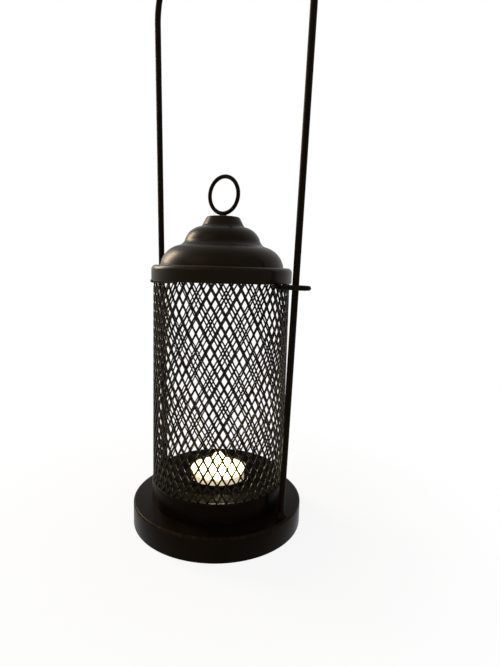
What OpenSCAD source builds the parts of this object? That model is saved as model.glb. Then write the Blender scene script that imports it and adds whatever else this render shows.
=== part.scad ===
// Tealight lantern: a wire-mesh cage with a stepped roof slides up the legs of a tall arched handle.
// The origin is the centre of the underside, +Z points up and the handle lies in the XZ plane.

/* [Base] */
// Diameter of the base pan
base_d = 111; // [104:1:140]
// Height of the base pan
base_h = 15.4; // [12:0.1:30]
// Sheet thickness of the base pan
base_wall = 1; // [0.6:0.1:1.5]
// Radius of the pan's rounded top edge
base_edge_r = 1.6; // [1.5:0.1:2.5]
// Thickness of the felt-faced board that closes the pan
pad_t = 3; // [1.5:0.1:4]

/* [Plinth] */
// Diameter of the drum that stands on the pan
plinth_d = 87; // [84:0.5:90]
// Height of the drum
plinth_h = 13.6; // [13:0.1:24]
// Sheet thickness of the drum
plinth_wall = 0.8; // [0.5:0.1:1.2]
// Radius of the drum's top edge
plinth_edge_r = 0.5; // [0.3:0.1:0.8]
// Width of the drum's inner foot flange
flange_w = 7; // [6:0.5:9]
// Number of rivets that hold the drum to the pan
rivet_count = 3; // [3:1:6]
// Diameter of the rivets
rivet_d = 2.4; // [2:0.1:3]
// Diameter of the rivet heads
rivet_head_d = 4.4; // [4:0.1:5]
// Height of the rivet heads
rivet_head_h = 1; // [0.6:0.1:1.5]

/* [Tealight] */
// Diameter of the tealight cup
tealight_d = 38; // [36:0.5:40]
// Height of the tealight cup
tealight_h = 18; // [14:0.5:22]
// Wall of the tealight cup
cup_wall = 0.6; // [0.4:0.1:1]
// Depth of the wax surface below the cup's rim
wax_drop = 1.5; // [0.5:0.1:4]
// Diameter of the wick
wick_d = 1.6; // [1.2:0.1:2.4]
// Length of wick above the wax
wick_out = 7; // [4:0.5:12]
// Diameter of the wick's tin foot
tab_d = 13; // [9:0.5:18]
// Thickness of the wick's tin foot
tab_t = 0.4; // [0.3:0.1:0.8]
// Wall of the seat cup
seat_wall = 0.8; // [0.5:0.1:1.2]
// Width of the lip of the seat cup
seat_lip_w = 3; // [2:0.5:6]

/* [Mesh cage] */
// Distance of the mesh's outside from the drum's outside
mesh_inset = 0.3; // [0.2:0.1:1]
// Height of the mesh, with the part inside the roof's rim
mesh_h = 137; // [100:1:180]
// Thickness of the mesh sheet
mesh_t = 1; // [0.8:0.1:1.4]
// Number of diamonds round the mesh
diamonds_round = 28; // [16:1:32]
// Number of half-height rows of diamonds
half_rows = 14; // [6:2:16]
// Number of upright panels that the mesh is made of, standing edge to edge
mesh_panels = 14; // [8:1:16]
// Width of a strand, square to its run
strand_w = 1.7; // [1.2:0.1:2.2]
// Height of the plain edge strip at the foot and the head of the mesh
edge_strip = 1.2; // [0.8:0.1:3]
// Height of the hoop inside the mesh's top edge
hoop_h = 6; // [3:0.5:8]
// Thickness of the hoop
hoop_t = 1; // [0.6:0.1:1.5]

/* [Roof] */
// Sheet thickness of the roof
roof_wall = 1; // [0.6:0.1:1.2]
// Height of the upright rim
rim_h = 9.6; // [8.6:0.1:14]
// Radius of the rim's rounded shoulder
rim_corner_r = 2.8; // [2:0.1:3.5]
// Width of the flat ledge between the rim's shoulder and the lower dome
ledge_w = 2.65; // [1.5:0.05:4]
// Radius of the lower dome's profile
lower_dome_r = 14.9; // [12:0.1:17]
// Depth of the lower dome's centre below the ledge
lower_dome_sink = 2; // [1.5:0.1:6]
// Radius at which the upper dome levels out under the cap
cap_foot_r = 12.3; // [12:0.1:14]
// Radius of the cap at its head
cap_r = 10.8; // [9:0.1:11.5]
// Height of the cap
cap_h = 6.1; // [5.5:0.1:12]
// Angle by which the cap widens towards its foot
cap_slope = 28; // [0:1:32]
// Radius of the rounded edge of the cap
cap_edge_r = 1.4; // [1.2:0.1:2]
// Radius of the hollow round the foot of the upper dome
hollow_r = 6; // [0.8:0.1:7]
// Radius of the hollow round the foot of the cap
cap_hollow_r = 2.7; // [0.8:0.1:3.5]

/* [Lifting ring] */
// Outer diameter of the ring
ring_d = 24.8; // [20:0.2:32]
// Diameter of the ring's wire
ring_wire = 2.5; // [2:0.1:3]
// Diameter of the collar under the ring
boss_d = 6.4; // [5:0.1:9]
// Height of the collar under the ring
boss_h = 1; // [0.6:0.1:2]
// Width across the flats of the ring's nut
ring_nut_w = 5; // [4.5:0.1:6]
// Height of the ring's nut
ring_nut_h = 2; // [1.5:0.1:2.6]

/* [Handle] */
// Diameter of the handle's rod
rod_d = 4; // [3.5:0.1:4.4]
// Distance of each leg's foot from the pan's edge
leg_inset = 5.7; // [5.4:0.1:6.2]
// Outward lean of each leg in degrees
leg_lean = 1.55; // [1.2:0.05:1.8]
// Diameter of the flared foot collars
collar_d = 7.4; // [6.8:0.1:7.8]
// Wall of the foot collars at their top
collar_wall = 0.5; // [0.4:0.1:0.8]
// Height of the flared foot collars
collar_h = 3.2; // [2:0.1:5]
// Diameter of the threaded leg ends
thread_d = 3; // [2.5:0.1:3.2]
// Diameter of the washers under the pan's top
washer_d = 5.8; // [5:0.1:6]
// Thickness of the washers
washer_t = 0.6; // [0.4:0.1:0.8]
// Width of the leg nuts across their flats
leg_nut_w = 5.5; // [5:0.1:5.6]
// Height of the leg nuts
leg_nut_h = 2.4; // [1.8:0.1:2.6]

/* [Guide eyes] */
// Wire diameter of the eyes
eye_wire = 2.8; // [2:0.1:3]
// Play between an eye and the rod
eye_play = 0.45; // [0.3:0.05:0.8]
// Height that the cage can be lifted
cage_travel = 155; // [100:1:200]

/* [Hidden] */
$fn = 64;

paint = [0.10, 0.08, 0.065];
rod_paint = [0.07, 0.06, 0.055];
zinc = [0.62, 0.62, 0.60];
felt = [0.16, 0.15, 0.14];
wax_white = [0.97, 0.94, 0.82];
clear = [0.92, 0.93, 0.90, 0.4];
cotton = [0.85, 0.80, 0.68];

// Clearances
press_gap = 0.05;
hole_gap = 0.1;
slide_gap = 0.3;
leg_gap = 0.5;
panel_gap = 0.1;
pad_gap = 0.2;
seat_gap = 0.5;
stop_gap = 3;
thread_proud = 1;
cut = 1;

// The bent rod is a little thinner than the straight legs and laps into their ends by this angle
bend_thinning = 0.03;
bend_lap = 0.05;

// Heights of the stand
base_top = base_h;
floor_top = base_top + plinth_h;
base_r = base_d / 2;
plinth_r = plinth_d / 2;
flange_in_r = plinth_r - plinth_wall - flange_w;
rivet_ring_r = plinth_r - plinth_wall - flange_w / 2;

// The seat cup reaches down to the pan and hangs by its lip on the floor
seat_in_r = tealight_d / 2 + seat_gap;
seat_out_r = seat_in_r + seat_wall;
seat_lip_r = seat_out_r + seat_lip_w;
seat_floor_top = base_top + seat_wall;
tealight_z = seat_floor_top + slide_gap;
wax_top = tealight_z + tealight_h - wax_drop;
wax_r = tealight_d / 2 - cup_wall;
tab_top = tealight_z + cup_wall + tab_t;

// Heights of the cage
mesh_z = floor_top + slide_gap;
mesh_top = mesh_z + mesh_h;
mesh_r = plinth_r - mesh_inset;
rim_in_r = mesh_r + press_gap;
rim_r = rim_in_r + roof_wall;
ledge_z = mesh_top + roof_wall;
rim_z = ledge_z - rim_h;
lower_dome_z = ledge_z - lower_dome_sink;
lower_apex_z = lower_dome_z + lower_dome_r;
dome_foot_r = rim_r - rim_corner_r - ledge_w;
shoulder_r = dome_foot_r - sqrt(pow(lower_dome_r, 2) - pow(lower_dome_sink, 2));
upper_dome_r = shoulder_r - cap_foot_r;
upper_apex_z = lower_apex_z + upper_dome_r;
cap_top_z = upper_apex_z + cap_h;
ring_mid_r = (ring_d - ring_wire) / 2;
ring_mid_z = cap_top_z + boss_h + ring_d / 2;
ring_top = cap_top_z + boss_h + ring_d;
shank_z = cap_top_z - roof_wall - ring_nut_h - thread_proud;

// The handle's arch runs on from both legs without a kink
rod_r = rod_d / 2;
leg_foot_r = max(base_r - leg_inset, plinth_r + leg_gap + rod_r);
handle_top = ring_top + cage_travel + stop_gap + rod_d;
lean = tan(leg_lean);
arch_top_reach = leg_foot_r + lean * (handle_top - rod_r - base_top);
arch_r = arch_top_reach / (cos(leg_lean) + lean * (1 + sin(leg_lean)));
arch_z = handle_top - rod_r - arch_r;
leg_len = (arch_r * cos(leg_lean) - leg_foot_r) / sin(leg_lean);
collar_bore_r = rod_r + hole_gap + collar_h * lean;
plate_bottom = base_top - base_wall;
nut_z = plate_bottom - washer_t - leg_nut_h;

// The eyes leave room for the leaning legs all the way up
eye_z = rim_z - eye_wire / 2 - press_gap;
eye_half_w = rod_r + eye_play;
eye_mid_w = eye_half_w + eye_wire / 2;
eye_end_x = leg_foot_r + lean * (eye_z + cage_travel - base_top) + rod_r + eye_play - eye_half_w;
eye_root_x = rim_in_r + slide_gap;

// Points of an arc round a centre in the profile plane
function arc(centre, r, a0, a1, steps) =
    [for (i = [0 : steps]) let(a = a0 + (a1 - a0) * i / steps) centre + r * [cos(a), sin(a)]];

// Base pan

pan_edge = [base_r - base_edge_r, base_top - base_edge_r];

function pan_outline() = concat(
    [[0, base_top]],
    arc(pan_edge, base_edge_r, 90, 0, 6),
    [[base_r, 0], [base_r - base_wall, 0]],
    arc(pan_edge, base_edge_r - base_wall, 0, 90, 6),
    [[0, plate_bottom]]
);

module at_legs() {
    for (side = [0, 180])
        rotate([0, 0, side])
            translate([leg_foot_r, 0, 0])
                children();
}

module at_rivets() {
    for (i = [0 : rivet_count - 1])
        rotate([0, 0, 90 + i * 360 / rivet_count])
            translate([rivet_ring_r, 0, 0])
                children();
}

module base_pan() {
    color(paint)
        difference() {
            rotate_extrude($fn = 128)
                polygon(pan_outline());
            translate([0, 0, plate_bottom - cut])
                at_legs()
                    cylinder(d = thread_d + 2 * hole_gap, h = base_wall + 2 * cut);
            translate([0, 0, plate_bottom - cut])
                at_rivets()
                    cylinder(d = rivet_d + 2 * hole_gap, h = base_wall + 2 * cut);
        }
}

module bottom_pad() {
    color(felt)
        cylinder(r = base_r - base_wall - pad_gap, h = pad_t, $fn = 128);
}

// Plinth

function plinth_outline() = concat(
    [[seat_out_r + hole_gap, floor_top]],
    arc([plinth_r - plinth_edge_r, floor_top - plinth_edge_r], plinth_edge_r, 90, 0, 4),
    [
        [plinth_r, base_top],
        [flange_in_r, base_top],
        [flange_in_r, base_top + plinth_wall],
        [plinth_r - plinth_wall, base_top + plinth_wall],
        [plinth_r - plinth_wall, floor_top - plinth_wall],
        [seat_out_r + hole_gap, floor_top - plinth_wall]
    ]
);

module plinth() {
    color(paint)
        difference() {
            rotate_extrude($fn = 128)
                polygon(plinth_outline());
            translate([0, 0, base_top - cut])
                at_rivets()
                    cylinder(d = rivet_d + 2 * hole_gap, h = plinth_wall + 2 * cut);
        }
}

module rivet() {
    translate([0, 0, plate_bottom - rivet_head_h])
        cylinder(d = rivet_head_d, h = rivet_head_h);
    translate([0, 0, plate_bottom])
        cylinder(d = rivet_d, h = base_wall + plinth_wall);
    translate([0, 0, base_top + plinth_wall])
        cylinder(d1 = rivet_head_d, d2 = rivet_d, h = rivet_head_h);
}

module plinth_rivets() {
    color(zinc)
        at_rivets()
            rivet();
}

module tealight_seat() {
    color(paint)
        rotate_extrude($fn = 96)
            polygon([
                [0, base_top],
                [seat_out_r, base_top],
                [seat_out_r, floor_top],
                [seat_lip_r, floor_top],
                [seat_lip_r, floor_top + seat_wall],
                [seat_in_r, floor_top + seat_wall],
                [seat_in_r, seat_floor_top],
                [0, seat_floor_top]
            ]);
}

// Handle

module leg() {
    difference() {
        translate([leg_foot_r, 0, base_top])
            rotate([0, leg_lean, 0])
                translate([0, 0, -cut])
                    cylinder(r = rod_r, h = leg_len + cut);
        translate([leg_foot_r - rod_d, -rod_d, base_top - 2 * cut])
            cube([2 * rod_d, 2 * rod_d, 2 * cut]);
    }
    translate([leg_foot_r, 0, nut_z - thread_proud])
        cylinder(d = thread_d, h = base_top - nut_z + thread_proud);
}

module handle_frame() {
    color(rod_paint)
        union() {
            leg();
            mirror([1, 0, 0])
                leg();
            translate([0, 0, arch_z])
                rotate([90, 0, 0])
                    rotate([0, 0, -leg_lean - bend_lap])
                        rotate_extrude(angle = 180 + 2 * (leg_lean + bend_lap), $fn = 128)
                            translate([arch_r, 0])
                                circle(r = rod_r - bend_thinning, $fn = 48);
        }
}

// The collars are cut back where the drum would come too close
module leg_collars() {
    color(rod_paint)
        difference() {
            translate([0, 0, base_top])
                at_legs()
                    cylinder(r1 = collar_d / 2, r2 = collar_bore_r + collar_wall, h = collar_h);
            translate([0, 0, base_top - cut])
                at_legs()
                    cylinder(r = collar_bore_r, h = collar_h + 2 * cut);
            translate([0, 0, base_top - cut])
                cylinder(r = plinth_r + hole_gap, h = collar_h + 2 * cut);
        }
}

module leg_washers() {
    color(zinc)
        at_legs()
            translate([0, 0, plate_bottom - washer_t])
                difference() {
                    cylinder(d = washer_d, h = washer_t);
                    translate([0, 0, -cut])
                        cylinder(d = thread_d + 2 * hole_gap, h = washer_t + 2 * cut);
                }
}

// A hexagon nut of width w across the flats, with its hole
module nut(w, h, hole_d) {
    difference() {
        cylinder(d = w / cos(30), h = h, $fn = 6);
        translate([0, 0, -cut])
            cylinder(d = hole_d, h = h + 2 * cut);
    }
}

module leg_nuts() {
    color(zinc)
        at_legs()
            translate([0, 0, nut_z])
                rotate([0, 0, 30])
                    nut(leg_nut_w, leg_nut_h, thread_d + press_gap);
}

// Mesh: nodes of the lattice sit on half-height rows, every other row turned by half a diamond.
// Each node has a right, top, left and bottom corner; strands and holes run between these corners.
// A panel spans whole columns of diamonds, and its corners are held between its two upright edges.

row_h = (mesh_h - 2 * edge_strip) / half_rows;
diamond_w = 2 * PI * mesh_r / diamonds_round;
strand_slope = atan2(2 * row_h, diamond_w);
corner_w = strand_w / sin(strand_slope) / 2 / diamond_w;
corner_h = strand_w / cos(strand_slope) / 2;
panel_edge = panel_gap / 2 / diamond_w;
head = half_rows;

// Corner numbers of a node
RIGHT = 0;
TOP = 1;
LEFT = 2;
BOTTOM = 3;

// First column of panel p, counted round the cage
function panel_start(p) = floor(p * diamonds_round / mesh_panels);
// Point at column u and height z, on the outer (0) or inner (1) face
function wall_point(u, z, face) =
    let(a = 360 * u / diamonds_round, r = mesh_r - face * mesh_t)
        [r * cos(a), r * sin(a), mesh_z + z];
function side_step(c) = [corner_w, 0, -corner_w, 0][c];
function rise(c) = [0, corner_h, 0, -corner_h][c];
// Column u, held between the upright edges of a panel of n columns
function inside_panel(u, n) = min(max(u, panel_edge), n - panel_edge);

// Corners of every node of a panel of n columns, then the right and left ends of the edge strips
function panel_points(first, n) = concat(
    [for (k = [0 : head]) for (i = [0 : n]) for (c = [RIGHT : BOTTOM]) for (f = [0, 1])
        let(u = inside_panel(i + (k % 2) / 2 + side_step(c), n))
            wall_point(first + u, edge_strip + k * row_h + rise(c), f)],
    [for (e = [0, 1]) for (i = [0 : n]) for (c = [RIGHT, LEFT]) for (f = [0, 1])
        let(u = inside_panel(i + side_step(c), n))
            wall_point(first + u, e * mesh_h, f)]
);

// Numbers of the outer points: corner c of node i in row k, and strip end c at the foot (0) or head (1)
function at(n, i, k, c) = ((k * (n + 1) + i) * 4 + c) * 2;
function strip_at(n, e, i, c) = ((head + 1) * (n + 1) * 4 + (e * (n + 1) + i) * 2 + c / 2) * 2;

// A face given on the outside, with its twin on the inside turned round
function both_faces(q) = [for (f = [0, 1]) for (j = [1 : len(q) - 2])
    f == 0 ? [q[0], q[j], q[j + 1]] : [q[j + 1] + 1, q[j] + 1, q[0] + 1]];
// Walls through the sheet below the outer line through the given points
function edge_walls(line) = [for (j = [0 : len(line) - 2]) let(a = line[j], b = line[j + 1]) each
    [[a, a + 1, b + 1], [a, b + 1, b]]];

function node_faces(n) = [for (k = [1 : head - 1]) for (i = [0 : n - k % 2]) each
    both_faces([for (c = [RIGHT, BOTTOM, LEFT, TOP]) at(n, i, k, c)])];
// The strand that climbs from node i to node j in the next row, to the right
function strand_right(n, i, j, k) =
    let(a = at(n, i, k, TOP), b = at(n, j, k + 1, LEFT), c = at(n, j, k + 1, BOTTOM), d = at(n, i, k, RIGHT))
        concat(both_faces([a, b, c, d]), edge_walls([a, b]), edge_walls([c, d]));
// The strand that climbs from node i to node j in the next row, to the left
function strand_left(n, i, j, k) =
    let(a = at(n, i, k, LEFT), b = at(n, j, k + 1, BOTTOM), c = at(n, j, k + 1, RIGHT), d = at(n, i, k, TOP))
        concat(both_faces([a, b, c, d]), edge_walls([a, b]), edge_walls([c, d]));
function strands(n) = [for (k = [0 : head - 1]) for (i = [0 : n - 1]) each concat(
    strand_right(n, i, i + k % 2, k),
    strand_left(n, i + 1 - k % 2, i, k)
)];

// The plain strip along the foot or the head, with the half nodes that stand on it or hang from it
function foot_faces(n) = concat(
    [for (i = [0 : n])
        let(right = at(n, i, 0, RIGHT), left = at(n, i, 0, LEFT))
        let(foot_right = strip_at(n, 0, i, RIGHT), foot_left = strip_at(n, 0, i, LEFT)) each concat(
            both_faces([right, left, at(n, i, 0, TOP)]),
            both_faces([left, right, foot_right, foot_left]),
            edge_walls([foot_right, foot_left])
        )],
    [for (i = [0 : n - 1])
        let(a = at(n, i, 0, RIGHT), b = at(n, i + 1, 0, LEFT))
        let(c = strip_at(n, 0, i + 1, LEFT), d = strip_at(n, 0, i, RIGHT)) each
            concat(both_faces([a, b, c, d]), edge_walls([a, b]), edge_walls([c, d]))]
);
function head_faces(n) = concat(
    [for (i = [0 : n])
        let(right = at(n, i, head, RIGHT), left = at(n, i, head, LEFT))
        let(head_right = strip_at(n, 1, i, RIGHT), head_left = strip_at(n, 1, i, LEFT)) each concat(
            both_faces([left, right, at(n, i, head, BOTTOM)]),
            both_faces([right, left, head_left, head_right]),
            edge_walls([head_left, head_right])
        )],
    [for (i = [0 : n - 1])
        let(a = at(n, i + 1, head, LEFT), b = at(n, i, head, RIGHT))
        let(c = strip_at(n, 1, i, RIGHT), d = strip_at(n, 1, i + 1, LEFT)) each
            concat(both_faces([a, b, c, d]), edge_walls([a, b]), edge_walls([c, d]))]
);

// The upright edges of a panel run through the middle of its outermost nodes
function upright_edges(n) = concat(
    [for (k = [2 : 2 : head - 2]) each concat(
        edge_walls([for (c = [BOTTOM, LEFT, TOP]) at(n, 0, k, c)]),
        edge_walls([for (c = [TOP, RIGHT, BOTTOM]) at(n, n, k, c)])
    )],
    edge_walls([strip_at(n, 0, 0, LEFT), at(n, 0, 0, LEFT), at(n, 0, 0, TOP)]),
    edge_walls([at(n, n, 0, TOP), at(n, n, 0, RIGHT), strip_at(n, 0, n, RIGHT)]),
    edge_walls([at(n, 0, head, BOTTOM), at(n, 0, head, LEFT), strip_at(n, 1, 0, LEFT)]),
    edge_walls([strip_at(n, 1, n, RIGHT), at(n, n, head, RIGHT), at(n, n, head, BOTTOM)])
);

module mesh_cage() {
    color(paint)
        for (p = [0 : mesh_panels - 1]) {
            n = panel_start(p + 1) - panel_start(p);
            polyhedron(
                points = panel_points(panel_start(p), n),
                faces = concat(node_faces(n), strands(n), foot_faces(n), head_faces(n), upright_edges(n))
            );
        }
}

// The hoop clears the flat facets between the mesh's corners
hoop_r = (mesh_r - mesh_t) * cos(180 / diamonds_round) - press_gap;

module top_hoop() {
    color(paint)
        translate([0, 0, mesh_top - hoop_h])
            difference() {
                cylinder(r = hoop_r, h = hoop_h, $fn = 128);
                translate([0, 0, -cut])
                    cylinder(r = hoop_r - hoop_t, h = hoop_h + 2 * cut, $fn = 128);
            }
}

// Roof: rim, ledge, lower dome, upper dome and cap in one line

lower_centre = [shoulder_r, lower_dome_z];
upper_centre = [cap_foot_r, lower_apex_z];
dome_foot_a = asin(lower_dome_sink / lower_dome_r);
shank_hole_r = ring_wire / 2 + hole_gap;

// Outer meeting point of a circle round p and a circle round q
function meet(p, rp, q, rq) =
    let(
        d = norm(q - p),
        u = (q - p) / d,
        a = (rp * rp - rq * rq + d * d) / (2 * d),
        h = sqrt(rp * rp - a * a)
    )
        p + a * u + h * [u[1], -u[0]];
function heading(from, to) = (atan2(to[1] - from[1], to[0] - from[0]) + 360) % 360;

// Centre of the hollow at the foot of the upper dome
hollow_1 = meet(lower_centre, lower_dome_r + hollow_r, upper_centre, upper_dome_r + hollow_r);

// The hollow at the foot of the cap touches the upper dome and the cap's sloping side
cap_edge_centre = [cap_r - cap_edge_r, cap_top_z - cap_edge_r];
side_out = [cos(cap_slope), sin(cap_slope)];
side_up = [-sin(cap_slope), cos(cap_slope)];
hollow_2_out = (cap_edge_centre - upper_centre) * side_out + cap_edge_r + cap_hollow_r;
hollow_2_up = sqrt(pow(upper_dome_r + cap_hollow_r, 2) - pow(hollow_2_out, 2));
hollow_2 = upper_centre + hollow_2_out * side_out + hollow_2_up * side_up;

function roof_outside() = concat(
    [[rim_r, rim_z]],
    arc([rim_r - rim_corner_r, ledge_z - rim_corner_r], rim_corner_r, 0, 90, 5),
    arc(lower_centre, lower_dome_r, dome_foot_a, heading(lower_centre, hollow_1), 10),
    arc(hollow_1, hollow_r, heading(hollow_1, lower_centre), heading(hollow_1, upper_centre), 8),
    arc(upper_centre, upper_dome_r, heading(upper_centre, hollow_1), heading(upper_centre, hollow_2), 10),
    arc(hollow_2, cap_hollow_r, heading(hollow_2, upper_centre), 180 + cap_slope, 5),
    arc(cap_edge_centre, cap_edge_r, cap_slope, 90, 4),
    [[shank_hole_r, cap_top_z]]
);

cap_in_r = cap_r - roof_wall;
upper_in_r = upper_dome_r - roof_wall;
lower_in_r = lower_dome_r - roof_wall;
lower_in_foot_a = asin((lower_dome_sink - roof_wall) / lower_in_r);

function roof_inside() = concat(
    [[shank_hole_r, cap_top_z - roof_wall]],
    [[cap_in_r, cap_top_z - roof_wall]],
    arc(upper_centre, upper_in_r, 90, heading(upper_centre, hollow_1), 10),
    arc(hollow_1, hollow_r + roof_wall, heading(hollow_1, upper_centre), heading(hollow_1, lower_centre), 8),
    arc(lower_centre, lower_in_r, heading(lower_centre, hollow_1), lower_in_foot_a, 10),
    [[rim_in_r, mesh_top], [rim_in_r, rim_z]]
);

module roof_sheet() {
    rotate_extrude($fn = 128)
        polygon(concat(roof_outside(), roof_inside()));
}

// The sheet is held in two parts, which meet where the hollow runs into the lower dome
seam_r = hollow_1[0] + hollow_r * cos(heading(hollow_1, lower_centre));

module crown_space(r) {
    translate([0, 0, rim_z])
        cylinder(r = r, h = cap_top_z - rim_z + cut, $fn = 128);
}

module roof() {
    color(paint)
        difference() {
            roof_sheet();
            crown_space(seam_r);
        }
}

module roof_crown() {
    color(paint)
        intersection() {
            roof_sheet();
            crown_space(seam_r - press_gap);
        }
}

// Lifting ring

module ring_boss() {
    color(paint)
        translate([0, 0, cap_top_z])
            difference() {
                cylinder(d1 = boss_d, d2 = boss_d - boss_h, h = boss_h);
                translate([0, 0, -cut])
                    cylinder(r = shank_hole_r, h = boss_h + 2 * cut);
            }
}

module lifting_ring() {
    color(rod_paint)
        union() {
            translate([0, 0, ring_mid_z])
                rotate([90, 0, 0])
                    rotate_extrude($fn = 96)
                        translate([ring_mid_r, 0])
                            circle(d = ring_wire, $fn = 32);
            translate([0, 0, shank_z])
                cylinder(d = ring_wire, h = cap_top_z + boss_h + ring_wire / 2 - shank_z);
        }
}

module ring_nut() {
    color(zinc)
        translate([0, 0, cap_top_z - roof_wall - ring_nut_h])
            nut(ring_nut_w, ring_nut_h, ring_wire + press_gap);
}

// Guide eyes

module guide_eye() {
    translate([0, 0, eye_z]) {
        translate([eye_end_x, 0, 0])
            rotate([0, 0, -90])
                rotate_extrude(angle = 180, $fn = 64)
                    translate([eye_mid_w, 0])
                        circle(d = eye_wire, $fn = 32);
        for (side = [1, -1])
            translate([eye_root_x, side * eye_mid_w, 0])
                rotate([0, 90, 0])
                    cylinder(d = eye_wire, h = eye_end_x - eye_root_x);
    }
}

module guide_eye_right() {
    color(rod_paint)
        guide_eye();
}

module guide_eye_left() {
    color(rod_paint)
        rotate([0, 0, 180])
            guide_eye();
}

// Tealight

module tealight_cup() {
    color(clear)
        translate([0, 0, tealight_z])
            difference() {
                cylinder(d = tealight_d, h = tealight_h, $fn = 96);
                translate([0, 0, cup_wall])
                    cylinder(r = wax_r, h = tealight_h, $fn = 96);
            }
}

module wick_tab() {
    color(zinc)
        translate([0, 0, tealight_z + cup_wall])
            cylinder(d = tab_d, h = tab_t);
}

module tealight_wick() {
    color(cotton)
        translate([0, 0, tab_top])
            cylinder(d = wick_d, h = wax_top + wick_out - tab_top, $fn = 24);
}

module tealight_wax() {
    color(wax_white)
        difference() {
            translate([0, 0, tealight_z + cup_wall])
                cylinder(r = wax_r, h = wax_top - tealight_z - cup_wall, $fn = 96);
            wick_tab();
            tealight_wick();
        }
}

base_pan();
bottom_pad();
plinth();
plinth_rivets();
tealight_seat();
handle_frame();
leg_collars();
leg_washers();
leg_nuts();
mesh_cage();
top_hoop();
roof();
roof_crown();
guide_eye_right();
guide_eye_left();
ring_boss();
lifting_ring();
ring_nut();
tealight_cup();
tealight_wax();
tealight_wick();
wick_tab();
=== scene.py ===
"""Dresses a mesh-caged tealight lantern in finished surfaces, and sets its stage, light and camera."""

import math

import bpy
from bpy.props import FloatProperty, FloatVectorProperty, IntProperty, PointerProperty
from mathutils import Matrix, Vector


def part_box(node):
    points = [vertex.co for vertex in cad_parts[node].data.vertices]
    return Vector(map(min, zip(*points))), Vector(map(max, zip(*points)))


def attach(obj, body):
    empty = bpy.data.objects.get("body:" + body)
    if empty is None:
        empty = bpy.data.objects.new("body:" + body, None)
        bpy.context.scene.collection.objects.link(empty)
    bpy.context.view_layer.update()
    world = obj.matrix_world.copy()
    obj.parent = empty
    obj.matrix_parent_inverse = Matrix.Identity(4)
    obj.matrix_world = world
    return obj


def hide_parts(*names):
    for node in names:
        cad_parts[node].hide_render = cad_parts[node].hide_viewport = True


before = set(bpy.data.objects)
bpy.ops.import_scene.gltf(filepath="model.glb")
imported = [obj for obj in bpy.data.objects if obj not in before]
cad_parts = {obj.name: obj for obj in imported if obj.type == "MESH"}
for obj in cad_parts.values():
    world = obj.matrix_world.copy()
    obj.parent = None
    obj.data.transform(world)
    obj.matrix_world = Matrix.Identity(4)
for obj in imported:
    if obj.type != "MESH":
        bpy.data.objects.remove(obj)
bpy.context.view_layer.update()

bl_info = {
    "name": "Mesh Tealight Lantern",
    "version": (1, 0, 0),
    "blender": (4, 5, 0),
    "location": "View3D > Sidebar > Lantern",
    "description": "Dresses the packed tealight lantern in its finished surfaces",
    "category": "Object",
}

MM = 0.001

# Edges sharper than this stay sharp
SHARP_ANGLE = math.radians(38)

# A bend of this radius or tighter wears fully, and a step along it counts as no shorter than the least
WEAR_RADIUS = 1.6 * MM
LEAST_STEP = 0.05 * MM

# Points of a profile this near to each other are one, and this near to the axis are poles
SAME_PLACE = 1e-7
ON_AXIS = 1e-6

# Faces round a full turn, for large sheet parts, the tealight and small turned parts
SHEET_TURNS = 160
TEALIGHT_TURNS = 96
SMALL_TURNS = 48

# Sides of the rod and the ring, of the eyes and of the wick
ROD_SIDES = 24
EYE_SIDES = 20
WICK_SIDES = 14

# How much rougher full dust or soot makes the paint, and the flame's share below the wick's end
DULLING = 0.5
FLAME_SUNK = 0.42


# Sizes read from the frame

def low(node):
    """Lowest corner of a node."""
    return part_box(node)[0]


def high(node):
    """Highest corner of a node."""
    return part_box(node)[1]


BASE_R = high("base_pan").x
BASE_TOP = high("base_pan").z
PAD_R = high("bottom_pad").x
PAD_TOP = high("bottom_pad").z
DRUM_R = high("plinth").x
DRUM_FOOT = low("plinth").z
DRUM_TOP = high("plinth").z
MESH_R = high("mesh_cage").x
MESH_FOOT = low("mesh_cage").z
MESH_TOP = high("mesh_cage").z
RIM_R = high("roof").x
RIM_FOOT = low("roof").z
ROOF_TOP = high("roof_crown").z
ROD_R = high("handle_frame").y
WASHER_R = high("leg_washers").y
LEG_X = high("leg_washers").x - WASHER_R
RING_WIRE_R = high("lifting_ring").y
RING_R = high("lifting_ring").x - RING_WIRE_R
RING_Z = high("lifting_ring").z - RING_R - RING_WIRE_R
CUP_R = high("tealight_cup").x
CUP_FOOT = low("tealight_cup").z
CUP_TOP = high("tealight_cup").z
WAX_TOP = high("tealight_wax").z
WICK_R = high("tealight_wick").x
WICK_TOP = high("tealight_wick").z


def flame_foot(flame_h):
    """Height of the foot of a flame, below the wick's end."""
    return WICK_TOP - flame_h * FLAME_SUNK


# Properties that a user would change

def length(name, about, default):
    """A size in metres."""
    return FloatProperty(name=name, description=about, default=default, min=0, unit="LENGTH", precision=5)


def angle(name, about, degrees):
    """An angle, given in degrees."""
    return FloatProperty(name=name, description=about, default=math.radians(degrees), unit="ROTATION")


def share(name, about, default):
    """A number from 0 to 1."""
    return FloatProperty(name=name, description=about, default=default, min=0, max=1, subtype="FACTOR")


def watts(name, about, default):
    """A lamp's power."""
    return FloatProperty(name=name, description=about, default=default, min=0, subtype="POWER", precision=4)


def count(name, about, default):
    """A whole number."""
    return IntProperty(name=name, description=about, default=default, min=1)


def colour(name, about, rgb):
    """A linear colour."""
    return FloatVectorProperty(
        name=name, description=about, default=rgb, size=3, min=0, max=1, subtype="COLOR")


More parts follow.
